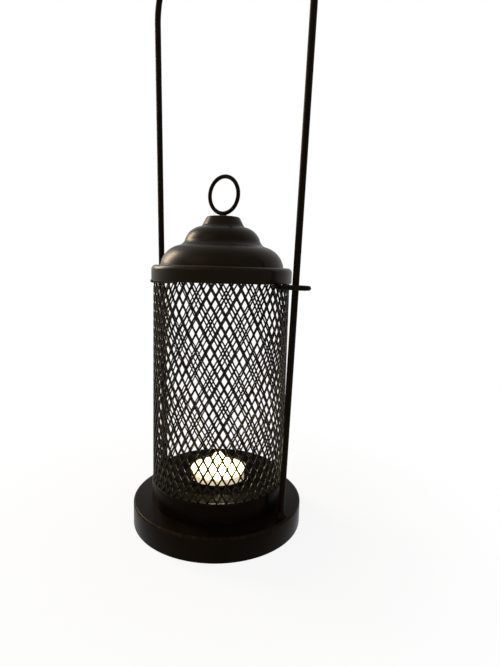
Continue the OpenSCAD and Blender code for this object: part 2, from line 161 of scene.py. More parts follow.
class LanternSizes(bpy.types.PropertyGroup):
    """Sheet, wire and mesh sizes that the frame's boxes don't give"""
    sheet: length("Sheet", "Thickness of the pan and the roof", 1.0 * MM)
    drum_sheet: length("Drum sheet", "Thickness of the drum and the seat", 0.8 * MM)
    base_edge: length("Base edge", "Radius of the pan's top edge", 1.6 * MM)
    drum_edge: length("Drum edge", "Radius of the drum's top edge", 0.9 * MM)
    drum_bead: length("Drum bead", "Height of the bead that the cage stands on", 0.26 * MM)
    flange: length("Drum flange", "Width of the drum's riveted flange", 7.0 * MM)
    rim_corner: length("Rim corner", "Radius of the roof's rim corner", 2.8 * MM)
    dome_foot: length("Dome foot", "Radius where the lower dome leaves the ledge", 38.8 * MM)
    lower_dome: length("Lower dome", "Radius of the lower dome's curve", 14.9 * MM)
    dome_sink: length("Dome sink", "How far the lower dome's centre lies under the ledge", 2.0 * MM)
    cap_foot: length("Cap foot", "Radius where the upper dome levels out under the cap", 12.3 * MM)
    cap_r: length("Cap radius", "Radius of the cap at its head", 10.8 * MM)
    cap_edge: length("Cap edge", "Radius of the cap's top edge", 1.4 * MM)
    cap_h: length("Cap height", "Height of the cap above the upper dome", 6.1 * MM)
    cap_slope: angle("Cap slope", "How far the cap's side leans outwards to its foot", 28)
    hollow: length("Hollow", "Radius of the hollow round the foot of the upper dome", 6.0 * MM)
    cap_hollow: length("Cap hollow", "Radius of the hollow round the foot of the cap", 2.7 * MM)
    diamonds_round: count("Diamonds round", "Mesh diamonds in one turn of the cage", 48)
    half_rows: count("Half rows", "Half rows of diamonds from the foot to the head", 26)
    strand_w: length("Strand width", "Width of a mesh strand, level across it", 1.3 * MM)
    strand_d: length("Strand depth", "Thickness of a mesh strand", 0.9 * MM)
    strand_tilt: angle("Strand tilt", "How far the strands are turned out of the sheet", 27)
    strand_ease: share("Strand ease", "How far the strands bend where they join", 0.35)
    flame_w: length("Flame width", "Width of the flame", 8.2 * MM)
    flame_h: length("Flame height", "Height of the flame", 8.8 * MM)


class LanternFinish(bpy.types.PropertyGroup):
    """Colours of the finishes"""
    paint_dark: colour("Paint", "Brown-black paint of the metal", (0.0030, 0.0018, 0.0010))
    paint_light: colour("Paint, thin", "The same paint where the coat is thin", (0.0062, 0.0036, 0.0020))
    paint_worn: colour("Worn paint", "Rubbed edges of the paint", (0.040, 0.026, 0.015))
    paint_gleam: colour("Gleam", "Tint of what the paint mirrors", (1.0, 0.74, 0.48))
    soot: colour("Soot", "Soot round the flame", (0.0030, 0.0024, 0.0020))
    dust: colour("Dust", "Dust that settles on level faces", (0.10, 0.085, 0.066))
    zinc: colour("Zinc", "Plating of rivets, washers and nuts", (0.60, 0.60, 0.58))
    felt: colour("Felt", "Felt under the base", (0.022, 0.019, 0.016))
    cup: colour("Cup", "Clear plastic of the tealight's cup", (0.99, 0.98, 0.94))
    cup_haze: colour("Cup haze", "The same plastic where it is hazy", (0.95, 0.93, 0.86))
    wax: colour("Wax", "Body of the tealight", (0.93, 0.84, 0.58))
    # Colour of the glow painted low in the wax, standing for the flame's light shining through it
    wax_glow: colour("Lit wax", "Wax lit through by the flame", (1.0, 0.74, 0.30))
    cotton: colour("Cotton", "Unburnt wick", (0.62, 0.55, 0.42))
    char: colour("Char", "Burnt wick", (0.010, 0.008, 0.007))
    tin: colour("Tin", "Tab that holds the wick", (0.72, 0.72, 0.71))
    flame_core: colour("Flame", "Middle of the flame", (1.0, 0.86, 0.52))
    flame_edge: colour("Flame edge", "Foot and tip of the flame", (1.0, 0.46, 0.10))


class LanternStage(bpy.types.PropertyGroup):
    """Camera and light"""
    camera_distance: length("Camera distance", "From the lantern's axis", 298.49 * MM)
    camera_height: length("Camera height", "Above the floor", 165.54 * MM)
    camera_bearing: angle("Camera bearing", "Round the axis from the front", 38.10)
    camera_pitch: angle("Camera pitch", "Downward tilt", 7.779)
    camera_yaw: angle("Camera yaw", "Turn to the right of the axis", 3.612)
    camera_roll: angle("Camera roll", "Turn about the view", 1.642)
    key_power: watts("Key", "Tall lamp at the left and behind", 6.5)
    fill_power: watts("Fill", "Broad lamp at the front left", 2.0)
    candle_power: watts("Candle", "Light of the flame", 0.12)
    ambient: share("Ambient", "Even light from all round", 0.3)
    floor_white: share("Floor white", "Share of the floor that shows as plain white", 0.9)


# Profiles

def arc(centre_r, centre_z, radius, start, end, steps=8):
    """Points of an arc in a profile, as (radius, height), from start to end in degrees."""
    turns = [math.radians(start + (end - start) * step / steps) for step in range(steps + 1)]
    return [(centre_r + radius * math.cos(turn), centre_z + radius * math.sin(turn)) for turn in turns]


def meet(first, first_r, second, second_r):
    """Outer meeting point of two circles."""
    apart = (second - first).length
    ahead = (second - first) / apart
    along = (first_r ** 2 - second_r ** 2 + apart ** 2) / (2 * apart)
    aside = math.sqrt(first_r ** 2 - along ** 2)
    return first + along * ahead + aside * Vector((ahead.y, -ahead.x))


def heading(start, end):
    """Direction from one point to another in degrees, from 0 to 360."""
    return math.degrees(math.atan2(end.y - start.y, end.x - start.x)) % 360


def distinct(profile):
    """A closed profile without points that lie on the one before."""
    points = []
    for point in profile:
        if not points or math.dist(points[-1], point) > SAME_PLACE:
            points.append(point)
    if math.dist(points[0], points[-1]) < SAME_PLACE:
        points.pop()
    return points


def bends(profile):
    """How tightly a profile bends outwards at each point, from 0 to 1 at the radius that wears."""
    worn = []
    for before, here, after in zip(profile[-1:] + profile, profile, profile[1:] + profile[:1]):
        go = Vector(here) - Vector(before)
        leave = Vector(after) - Vector(here)
        turn = math.atan2(go.x * leave.y - go.y * leave.x, go.dot(leave))
        reach = max((go.length + leave.length) / 2, LEAST_STEP)
        worn.append(min(max(turn * WEAR_RADIUS / reach, 0), 1))
    return worn


# Meshes

def circle_points(radius, height, turns):
    """Points of a level circle about the axis, or the one point of a pole."""
    if radius < ON_AXIS:
        return [(0, 0, height)]
    spins = [2 * math.pi * side / turns for side in range(turns)]
    return [(radius * math.cos(spin), radius * math.sin(spin), height) for spin in spins]


def smooth_mesh(points, faces):
    """A mesh that shades smooth up to its sharp edges."""
    mesh = bpy.data.meshes.new("smooth")
    mesh.from_pydata(points, [], faces)
    mesh.polygons.foreach_set("use_smooth", [True] * len(faces))
    mesh.set_sharp_from_angle(angle=SHARP_ANGLE)
    return mesh


def mark_edges(mesh, wear):
    """Keeps on a mesh how far each of its points wears, for the paint to read."""
    mesh.attributes.new("edge", "FLOAT", "POINT").data.foreach_set("value", wear)


def skin(rings, closed):
    """A mesh over rings of points. A ring of one point is a pole, and a closed skin joins its ends."""
    points = []
    rows = []
    for ring in rings:
        rows.append(list(range(len(points), len(points) + len(ring))))
        points.extend(ring)
    faces = []
    pairs = list(zip(rows, rows[1:])) + ([(rows[-1], rows[0])] if closed else [])
    for below, above in pairs:
        sides = max(len(below), len(above))
        for side in range(sides if sides > 1 else 0):
            after = (side + 1) % sides
            if len(below) == 1:
                faces.append((below[0], above[after], above[side]))
            elif len(above) == 1:
                faces.append((below[side], below[after], above[0]))
            else:
                faces.append((below[side], below[after], above[after], above[side]))
    return smooth_mesh(points, faces)


def turned(profile, turns=SHEET_TURNS):
    """A closed shape turned about the axis from a closed profile of (radius, height) points."""
    profile = distinct(profile)
    pairs = zip(profile, profile[1:] + profile[:1])
    area = sum(here[0] * after[1] - after[0] * here[1] for here, after in pairs)
    if area < 0:
        profile.reverse()

    # A profile that meets the axis is made to start and end there, and any other closes to a ring
    poles = [place for place, point in enumerate(profile) if point[0] < ON_AXIS]
    if poles and poles != [0, len(profile) - 1]:
        start = poles[-1] if poles[-1] - poles[0] == 1 else poles[0]
        profile = profile[start:] + profile[:start]
    rings = [circle_points(radius, height, turns) for radius, height in profile]
    wear = []
    for ring, bend in zip(rings, bends(profile)):
        wear.extend([bend] * len(ring) if len(ring) > 1 else [0])
    mesh = skin(rings, not poles)
    mark_edges(mesh, wear)
    return mesh


def hex_nut(across, hole_r, foot, head, turns=72):
    """A chamfered hexagon nut about the axis."""
    flat = across / 2
    chamfer_r = flat * 1.01
    chamfer = math.tan(math.radians(30))
    bevel = hole_r * 0.12

    def hexagon(height, way):
        """The hexagon at a height, with its corners chamfered upwards for 1 and downwards for -1."""
        points = []
        for side in range(turns):
            spin = 2 * math.pi * side / turns
            off_flat = (spin + math.pi / 6) % (math.pi / 3) - math.pi / 6
            radius = flat / math.cos(off_flat)
            z = height + way * max(radius - chamfer_r, 0) * chamfer
            points.append((radius * math.cos(spin), radius * math.sin(spin), z))
        return points

    rings = [circle_points(hole_r, head - bevel, turns), circle_points(hole_r, foot + bevel, turns)]
    rings += [circle_points(hole_r + bevel, foot, turns), circle_points(flat, foot, turns)]
    rings += [hexagon(foot, 1), hexagon(head, -1)]
    rings += [circle_points(flat, head, turns), circle_points(hole_r + bevel, head, turns)]
    return skin(rings, True)


def thread(radius, foot, head, pitch=0.5 * MM, depth=0.28 * MM):
    """A stud with thread ridges from foot to head."""
    root_r = radius - depth
    ridges = int((head - foot) / pitch)
    profile = [(0, foot), (root_r, foot)]
    for ridge in range(ridges):
        start = foot + (head - foot) * ridge / ridges
        profile += [(root_r, start + 0.1 * pitch), (radius, start + 0.5 * pitch)]
    profile += [(root_r, head), (0, head)]
    return turned(profile, SMALL_TURNS // 2)


def bead(centre, radii, turns=16, steps=8):
    """A smooth lump, such as a drop of weld."""
    rings = []
    for step in range(steps + 1):
        lift = math.pi * (step / steps - 0.5)
        ball = circle_points(math.cos(lift), math.sin(lift), turns)
        rings.append([Vector(centre) + Vector(radii) * Vector(point) for point in ball])
    return skin(rings, False)


def joined(*meshes):
    """Several meshes as one, with each point's wear kept."""
    points = []
    faces = []
    wear = []
    for mesh in meshes:
        start = len(points)
        points.extend(tuple(vertex.co) for vertex in mesh.vertices)
        faces.extend([start + index for index in face.vertices] for face in mesh.polygons)
        edge = mesh.attributes.get("edge")
        wear.extend([item.value for item in edge.data] if edge else [0] * len(mesh.vertices))
    whole = smooth_mesh(points, faces)
    mark_edges(whole, wear)
    return whole


def path_mesh(points, closed=False):
    """A bare path of edges, for a tree that follows it."""
    edges = [(place, place + 1) for place in range(len(points) - 1)]
    if closed:
        edges.append((len(points) - 1, 0))
    mesh = bpy.data.meshes.new("path")
    mesh.from_pydata(points, edges, [])
    return mesh


# Objects

def linked(name, data):
    """A new object in the scene."""
    made = bpy.data.objects.new(name, data)
    bpy.context.scene.collection.objects.link(made)
    return made


def finished(name, mesh, finish, body, slot, *nodes):
    """Makes one piece of a mesh with its finish, hangs it on the body that carries it and hides the nodes
    that it stands for.
    """
    mesh.name = name
    mesh.materials.clear()
    mesh.materials.append(kept(finish))
    piece = linked(name, mesh)
    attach(piece, body)
    if nodes:
        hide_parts(*nodes)
    return piece


# Node trees

def feed(tree, node, inputs):
    """Feeds a node's inputs with values or with other nodes' sockets."""
    for key, value in inputs.items():
        if isinstance(value, bpy.types.NodeSocket):
            tree.links.new(value, node.inputs[key])
        else:
            node.inputs[key].default_value = value


def add(tree, kind, inputs=None, **settings):
    """Adds a node, sets its properties and feeds its inputs."""
    made = tree.nodes.new(kind)
    for name, value in settings.items():
        setattr(made, name, value)
    feed(tree, made, inputs or {})
    return made


def given_by(tree, kind, inputs=None, **settings):
    """The first output of a new node."""
    return add(tree, kind, inputs, **settings).outputs[0]


def calc(tree, operation, *values):
    """A Math node's result."""
    return given_by(tree, "ShaderNodeMath", dict(enumerate(values)), operation=operation)


def product(tree, first, *others):
    """Values multiplied with each other."""
    for other in others:
        first = calc(tree, "MULTIPLY", first, other)
    return first


def ranged(tree, value, start=0.0, end=1.0, least=0.0, most=1.0, **settings):
    """A value that runs from start to end, stretched to run from least to most."""
    limits = {"From Min": start, "From Max": end, "To Min": least, "To Max": most}
    return given_by(tree, "ShaderNodeMapRange", {"Value": value, **limits}, **settings)


def vector(tree, **parts):
    """A vector put together from its X, Y and Z."""
    return given_by(tree, "ShaderNodeCombineXYZ", parts)


def parts_of(tree, value):
    """A vector's X, Y and Z."""
    return add(tree, "ShaderNodeSeparateXYZ", {"Vector": value}).outputs


def about_axis(tree, spin, radius, height=0.0):
    """The place at a turn about the axis, a radius and a height."""
    x = product(tree, calc(tree, "COSINE", spin), radius)
    y = product(tree, calc(tree, "SINE", spin), radius)
    return vector(tree, X=x, Y=y, Z=height)


def new_tree(kind, inputs, outputs):
    """A node group with named sockets, its input node and its output node."""
    tree = bpy.data.node_groups.new("tree", kind)
    for way, sockets in (("INPUT", inputs), ("OUTPUT", outputs)):
        for label, socket in sockets.items():
            tree.interface.new_socket(name=label, in_out=way, socket_type=f"NodeSocket{socket}")
    return tree, tree.nodes.new("NodeGroupInput").outputs, tree.nodes.new("NodeGroupOutput").inputs


def shared_tree(build):
    """A tree that several pieces or materials use, built once."""
    made = bpy.data.node_groups.get(build.__name__)
    if made is None:
        made = build()
        made.name = build.__name__
    return made


# Geometry trees

def geometry_tree(sizes, counts):
    """A tree with named sizes and counts, which takes and gives a geometry and sets a material."""
    inputs = {"Geometry": "Geometry", **dict.fromkeys(sizes, "Float"), **dict.fromkeys(counts, "Int")}
    return new_tree("GeometryNodeTree", {**inputs, "Finish": "Material"}, {"Geometry": "Geometry"})


def close_tree(tree, given, taken, made):
    """Ends a geometry tree: real meshes, smooth shading and the material."""
    real = given_by(tree, "GeometryNodeRealizeInstances", {"Geometry": made})
    shaded = given_by(tree, "GeometryNodeSetShadeSmooth", {"Geometry": real, "Shade Smooth": True})
    coat = {"Geometry": shaded, "Material": given["Finish"]}
    tree.links.new(given_by(tree, "GeometryNodeSetMaterial", coat), taken["Geometry"])
    return tree


def wire_tree():
    """Sweeps a round wire along a path."""
    tree, given, taken = geometry_tree(("Wire Radius",), ("Sides",))
    path = given_by(tree, "GeometryNodeMeshToCurve", {"Mesh": given["Geometry"]})
    section = {"Resolution": given["Sides"], "Radius": given["Wire Radius"]}
    outline = given_by(tree, "GeometryNodeCurvePrimitiveCircle", section, mode="RADIUS")
    sweep = {"Curve": path, "Profile Curve": outline, "Fill Caps": True}
    return close_tree(tree, given, taken, given_by(tree, "GeometryNodeCurveToMesh", sweep))


def circle_tree():
    """Sets copies of a part in a circle about the axis."""
    tree, given, taken = geometry_tree(("Circle Radius", "First Angle"), ("Copies",))
    index = given_by(tree, "GeometryNodeInputIndex")
    step = calc(tree, "DIVIDE", 2 * math.pi, given["Copies"])
    spin = calc(tree, "ADD", product(tree, index, step), given["First Angle"])
    places = {"Count": given["Copies"], "Position": about_axis(tree, spin, given["Circle Radius"])}
    points = given_by(tree, "GeometryNodePoints", places)
    facing = given_by(tree, "FunctionNodeEulerToRotation", {"Euler": vector(tree, Z=spin)})
    copies = {"Points": points, "Instance": given["Geometry"], "Rotation": facing}
    return close_tree(tree, given, taken, given_by(tree, "GeometryNodeInstanceOnPoints", copies))


def upright_strand(tree, given, rise):
    """One mesh strand: a bar of eight sides, flattened to its section and turned out of the sheet."""
    sides = 8
    flat_r = 0.5 / math.cos(math.pi / sides)
    shape = {"Vertices": sides, "Side Segments": 3, "Radius": flat_r, "Depth": 1.0}
    bar = given_by(tree, "GeometryNodeMeshCylinder", shape, fill_type="NGON")
    square = given_by(tree, "GeometryNodeTransform", {"Geometry": bar, "Rotation": (0, 0, math.pi / sides)})
    section = vector(tree, X=given["Strand Width"], Y=given["Strand Depth"], Z=rise)
    facing = given_by(tree, "FunctionNodeEulerToRotation", {"Euler": vector(tree, Z=given["Strand Tilt"])})
    change = {"Geometry": square, "Rotation": facing, "Scale": section}
    return given_by(tree, "GeometryNodeTransform", change)


def strand_lean(tree, given, spot, pitch, rise):
    """How far a strand leans at a point: half a diamond over its height, eased where it joins the next."""
    climb = calc(tree, "ADD", calc(tree, "DIVIDE", parts_of(tree, spot)["Z"], rise), 0.5)
    eased = ranged(tree, climb, interpolation_type="SMOOTHSTEP")
    blend = {0: given["Strand Ease"], 2: climb, 3: eased}
    lean = calc(tree, "SUBTRACT", given_by(tree, "ShaderNodeMix", blend, data_type="FLOAT"), 0.5)
    return product(tree, lean, pitch, 0.5)


def expanded_mesh_tree():
    """Rolls a sheet of expanded metal: leaning strands on a flat grid, bent round the axis."""
    tree, given, taken = geometry_tree(
        ("Radius", "Foot", "Height", "Strand Width", "Strand Depth", "Strand Tilt", "Strand Ease"),
        ("Diamonds Round", "Half Rows"))
    columns = given["Diamonds Round"]
    pitch = calc(tree, "DIVIDE", product(tree, given["Radius"], 2 * math.pi), columns)
    rise = calc(tree, "DIVIDE", given["Height"], given["Half Rows"])
    spot = given_by(tree, "GeometryNodeInputPosition")
    strand = upright_strand(tree, given, rise)
    lean = strand_lean(tree, given, spot, pitch, rise)

    # Strands of both leans stand on a grid whose rows are staggered by half a diamond
    index = given_by(tree, "GeometryNodeInputIndex")
    row = calc(tree, "FLOOR", calc(tree, "DIVIDE", index, columns))
    stagger = product(tree, calc(tree, "MODULO", row, 2.0), 0.5)
    column = calc(tree, "ADD", calc(tree, "MODULO", index, columns), stagger)
    middle = product(tree, calc(tree, "ADD", row, 0.5), rise)
    strands = product(tree, columns, given["Half Rows"])
    join = add(tree, "GeometryNodeJoinGeometry")
    for side in (1.0, -1.0):
        shift = {"Geometry": strand, "Offset": vector(tree, X=product(tree, lean, side))}
        leaning = given_by(tree, "GeometryNodeSetPosition", shift)
        across = product(tree, calc(tree, "ADD", column, 0.25 * side), pitch)
        grid = {"Count": strands, "Position": vector(tree, X=across, Z=middle)}
        points = given_by(tree, "GeometryNodePoints", grid)
        copies = {"Points": points, "Instance": leaning}
        tree.links.new(given_by(tree, "GeometryNodeInstanceOnPoints", copies), join.inputs[0])
    sheet = given_by(tree, "GeometryNodeRealizeInstances", {"Geometry": join.outputs[0]})

    # The flat sheet is rolled: its width runs round the axis and its depth outwards
    flat = parts_of(tree, spot)
    spin = calc(tree, "DIVIDE", product(tree, flat["X"], -1.0), given["Radius"])
    radius = calc(tree, "ADD", flat["Y"], given["Radius"])
    height = calc(tree, "ADD", flat["Z"], given["Foot"])
    roll = {"Geometry": sheet, "Position": about_axis(tree, spin, radius, height)}
    return close_tree(tree, given, taken, given_by(tree, "GeometryNodeSetPosition", roll))


def grown(build, seed, finish, values):
    """Runs a shared geometry tree on a seed mesh and gives the result as a plain mesh."""
    tree = shared_tree(build)
    values = {**values, "Finish": kept(finish)}
    host = linked("seed", seed)
    modifier = host.modifiers.new("tree", "NODES")
    modifier.node_group = tree
    for item in tree.interface.items_tree:
        if item.in_out == "INPUT" and item.name in values:
            modifier[item.identifier] = values[item.name]
    depsgraph = bpy.context.evaluated_depsgraph_get()
    mesh = bpy.data.meshes.new_from_object(host.evaluated_get(depsgraph), depsgraph=depsgraph)
    bpy.data.objects.remove(host)
    if not mesh.polygons:
        raise RuntimeError(f"the tree {tree.name} gave no faces")
    return mesh


def wire(points, radius, sides, finish, closed=False):
    """A round wire along a path, as a plain mesh."""
    return grown(wire_tree, path_mesh(points, closed), finish, {"Wire Radius": radius, "Sides": sides})


def circled(part, copies, radius, finish, first_angle=0.0):
    """Copies of a part in a circle, as a plain mesh."""
    values = {"Copies": copies, "Circle Radius": radius, "First Angle": first_angle}
    return grown(circle_tree, part, finish, values)


# Shared surface effects

def own_place(tree):
    """Where a point lies on its piece."""
    return add(tree, "ShaderNodeTexCoord").outputs["Object"]


def noise(tree, scale, detail, roughness=0.5):
    """Noise that keeps its place on the piece."""
    grain = {"Vector": own_place(tree), "Scale": scale, "Detail": detail, "Roughness": roughness}
    return given_by(tree, "ShaderNodeTexNoise", grain)


def looks_up(tree, least, most):
    """How far a face looks up, from 0 to 1 between two heights of its normal."""
    normal = add(tree, "ShaderNodeNewGeometry").outputs["Normal"]
    return ranged(tree, parts_of(tree, normal)["Z"], least, most)


def effect_tree(inputs, outputs):
    """A shader group whose sockets are all plain numbers."""
    return new_tree("ShaderNodeTree", dict.fromkeys(inputs, "Float"), dict.fromkeys(outputs, "Float"))


def sprayed_coat():
    """Clouds in the tone of a sprayed coat, and its fine orange peel."""
    tree, given, taken = effect_tree(("Clouds", "Peel"), ("Tone", "Height"))
    clouds = noise(tree, given["Clouds"], detail=4.0)
    tree.links.new(ranged(tree, clouds, 0.3, 0.72), taken["Tone"])
    tree.links.new(noise(tree, given["Peel"], detail=2.0), taken["Height"])
    return tree


def edge_wear():
    """A mask of edges that hands have rubbed."""
    tree, given, taken = effect_tree(("Amount", "Patches"), ("Mask",))
    edge = add(tree, "ShaderNodeAttribute", attribute_name="edge").outputs["Fac"]
    patches = ranged(tree, noise(tree, given["Patches"], detail=5.0, roughness=0.65), 0.42, 0.68)
    tree.links.new(product(tree, patches, edge, given["Amount"]), taken["Mask"])
    return tree


def settled_dust():
    """A mask of dust on faces that look up."""
    tree, given, taken = effect_tree(("Amount", "Specks"), ("Mask",))
    specks = ranged(tree, noise(tree, given["Specks"], detail=6.0, roughness=0.7), 0.4, 0.75)
    tree.links.new(product(tree, looks_up(tree, 0.55, 1.0), specks, given["Amount"]), taken["Mask"])
    return tree


def candle_soot():
    """A mask of soot on faces that look up, round the flame."""
    tree, given, taken = effect_tree(("Radius", "Fade", "Specks"), ("Mask",))
    flat = {0: own_place(tree), 1: (1, 1, 0)}
    flattened = given_by(tree, "ShaderNodeVectorMath", flat, operation="MULTIPLY")
    away = add(tree, "ShaderNodeVectorMath", {0: flattened}, operation="LENGTH").outputs["Value"]
    inward = calc(tree, "DIVIDE", calc(tree, "SUBTRACT", given["Radius"], away), given["Fade"])
    inside = given_by(tree, "ShaderNodeClamp", {"Value": inward})
    specks = ranged(tree, noise(tree, given["Specks"], detail=4.0), 0.2, 0.45)
    tree.links.new(product(tree, looks_up(tree, 0.3, 0.8), inside, specks), taken["Mask"])
    return tree


# Materials

def new_material():
    """An empty material, its tree and its main shader."""
    made = bpy.data.materials.new("finish")
    made.use_nodes = True
    return made, made.node_tree, made.node_tree.nodes["Principled BSDF"]


def kept(build):
    """A material built once, named for its finish, and used by many pieces."""
    name = f"{build.__name__}_finish"
    made = bpy.data.materials.get(name)
    if made is None:
        made = build(bpy.context.scene.lantern_finish)
        made.name = name
    return made


def placed(tree, build, **values):
    """A shared effect placed in a material, with its own values."""
    return add(tree, "ShaderNodeGroup", values, node_tree=shared_tree(build)).outputs


def coated(clouds, peel, relief):
    """A material under a sprayed coat with relief, its tree, its shader and the coat."""
    made, tree, shader = new_material()
    coat = placed(tree, sprayed_coat, Clouds=clouds, Peel=peel)
    lumps = {"Height": coat["Height"], "Distance": relief, "Strength": 1.0}
    tree.links.new(given_by(tree, "ShaderNodeBump", lumps), shader.inputs["Normal"])
    return made, tree, shader, coat


def mixed(tree, factor, first, second):
    """One colour mixed into another by a factor."""
    ends = [end if isinstance(end, bpy.types.NodeSocket) else (*end, 1) for end in (first, second)]
    return add(tree, "ShaderNodeMix", {0: factor, 6: ends[0], 7: ends[1]}, data_type="RGBA").outputs[2]


def toned(rgb, factor):
    """A colour made darker or lighter."""
    return tuple(min(value * factor, 1) for value in rgb)


def height_share(tree, foot, head):
    """Where a point lies between two heights, from 0 to 1."""
    return ranged(tree, parts_of(tree, own_place(tree))["Z"], foot, head)


def paint(finish, roughness, sheen, clouds=45.0, peel=1100.0, wear=0.5, settled=0.02, sooty=False):
    """Brown-black satin paint: cloudy, rubbed at its edges, a little dusty and, by a flame, sooty."""
    made, tree, shader, coat = coated(clouds, peel, relief=0.02 * MM)
    rubbed = placed(tree, edge_wear, Amount=wear, Patches=420.0)["Mask"]
    specks = placed(tree, settled_dust, Amount=settled, Specks=900.0)["Mask"]
    bare = mixed(tree, coat["Tone"], finish.paint_dark, finish.paint_light)
    look = mixed(tree, specks, mixed(tree, rubbed, bare, finish.paint_worn), finish.dust)
    gloss = ranged(tree, coat["Tone"], least=roughness - 0.05, most=roughness + 0.06)
    dulled = calc(tree, "ADD", gloss, product(tree, specks, DULLING))
    if sooty:
        soot = placed(tree, candle_soot, Radius=DRUM_R - 1.2 * MM, Fade=1.0 * MM, Specks=260.0)["Mask"]
        look = mixed(tree, soot, look, finish.soot)
        dulled = calc(tree, "ADD", dulled, product(tree, soot, DULLING))
    feed(tree, shader, {
        "Base Color": look,
        "Roughness": dulled,
        "Specular IOR Level": sheen,
        "Specular Tint": (*finish.paint_gleam, 1),
    })
    return made


def pan_paint(finish):
    """Paint of the pan, duller than the roof's."""
    return paint(finish, roughness=0.32, sheen=0.03)


def lantern_paint(finish):
    """Paint of the roof and the ring's collar."""
    return paint(finish, roughness=0.34, sheen=0.08, settled=0.03)


def sooty_paint(finish):
    """Paint of the drum and the seat, dulled by soot around the flame."""
    return paint(finish, roughness=0.3, sheen=0.02, sooty=True)


def mesh_paint(finish):
    """Paint of the expanded mesh and its hoop."""
    return paint(finish, roughness=0.28, sheen=0.12, clouds=60.0, peel=1500.0, wear=0.3)


def rod_paint(finish):
    """Paint of the handle, collars, eyes and ring."""
    return paint(finish, roughness=0.44, sheen=0.04, clouds=70.0, peel=1300.0, wear=0.4)


def zinc(finish):
    """Zinc plating with a faint spangle."""
    made, tree, shader, coat = coated(clouds=320.0, peel=2600.0, relief=0.01 * MM)
    feed(tree, shader, {
        "Base Color": mixed(tree, coat["Tone"], toned(finish.zinc, 0.72), toned(finish.zinc, 1.2)),
        "Roughness": ranged(tree, coat["Tone"], least=0.28, most=0.46),
        "Metallic": 1.0,
    })
    return made


def bottom_felt(finish):
    """Short-haired felt."""
    made, tree, shader, coat = coated(clouds=260.0, peel=3200.0, relief=0.25 * MM)
    feed(tree, shader, {
        "Base Color": mixed(tree, coat["Tone"], finish.felt, toned(finish.felt, 1.9)),
        "Roughness": ranged(tree, coat["Height"], least=0.86, most=1.0),
        "Sheen Weight": 0.3,
        "Specular IOR Level": 0.1,
    })
    return made


def clear_cup(finish):
    """Clear moulded plastic with faint haze."""
    made, tree, shader, coat = coated(clouds=110.0, peel=700.0, relief=0.01 * MM)
    feed(tree, shader, {
        "Base Color": mixed(tree, coat["Tone"], finish.cup_haze, finish.cup),
        "Roughness": ranged(tree, coat["Tone"], least=0.04, most=0.12),
        "Transmission Weight": 1.0,
        "IOR": 1.2,
    })
    return made


def wax(finish):
    """Paraffin with a painted glow standing for the flame's light shining through it: white at the top and
    honey-coloured low down.
    """
    made, tree, shader, coat = coated(clouds=160.0, peel=900.0, relief=0.02 * MM)
    climb = height_share(tree, low("tealight_wax").z, WAX_TOP)
    # Top colour of the painted glow: the wax's own colour lightened towards white
    white = tuple(0.5 + 0.5 * value for value in finish.wax)
    feed(tree, shader, {
        "Base Color": mixed(tree, coat["Tone"], toned(finish.wax, 0.94), finish.wax),
        "Roughness": ranged(tree, coat["Tone"], least=0.3, most=0.45),
        # Emission is painted light, the flame's glow through the wax, from the lit colour low down to near
        # white at the top
        "Emission Color": mixed(tree, climb, finish.wax_glow, white),
        "Emission Strength": 0.55,
        "Subsurface Weight": 0.25,
        "Subsurface Radius": (1.0, 0.7, 0.35),
        "Subsurface Scale": 4.0 * MM,
    })
    return made


def wick_cotton(finish):
    """Braided cotton, burnt black at the top, with a glowing tip."""
    made, tree, shader, coat = coated(clouds=900.0, peel=3000.0, relief=0.12 * MM)
    burnt = mixed(tree, height_share(tree, WAX_TOP, WAX_TOP + 2.0 * MM), finish.cotton, finish.char)
    tip = height_share(tree, WICK_TOP - 1.0 * MM, WICK_TOP)
    feed(tree, shader, {
        "Base Color": mixed(tree, coat["Tone"], burnt, finish.char),
        "Roughness": ranged(tree, coat["Tone"], least=0.8, most=0.98),
        "Emission Color": mixed(tree, tip, (0, 0, 0), finish.flame_edge),
        "Emission Strength": 1.2,
    })
    return made


def tab_tin(finish):
    """Stamped tin plate."""
    made, tree, shader, coat = coated(clouds=400.0, peel=2200.0, relief=0.008 * MM)
    feed(tree, shader, {
        "Base Color": mixed(tree, coat["Tone"], toned(finish.tin, 0.8), finish.tin),
        "Roughness": ranged(tree, coat["Tone"], least=0.22, most=0.36),
        "Metallic": 1.0,
    })
    return made


def flame_light(finish):
    """A candle flame: bright in the middle and clear towards the tip."""
    made, tree, shader = new_material()
    flame_h = bpy.context.scene.lantern_sizes.flame_h
    foot = flame_foot(flame_h)
    climb = height_share(tree, foot, foot + flame_h)
    stops = add(tree, "ShaderNodeValToRGB", {"Fac": climb})
    ramp = stops.color_ramp.elements
    for end in (0, 1):
        ramp[end].color = (*finish.flame_edge, 1)
    for place in (0.22, 0.78):
        ramp.new(place).color = (*finish.flame_core, 1)
    feed(tree, shader, {
        "Base Color": (0, 0, 0, 1),
        "Specular IOR Level": 0.0,
        "Emission Color": stops.outputs["Color"],
        "Emission Strength": 5.0,
        "Alpha": ranged(tree, climb, 0.7, 1.0, least=0.92, most=0.25),
    })
    return made


# Pieces of the stand

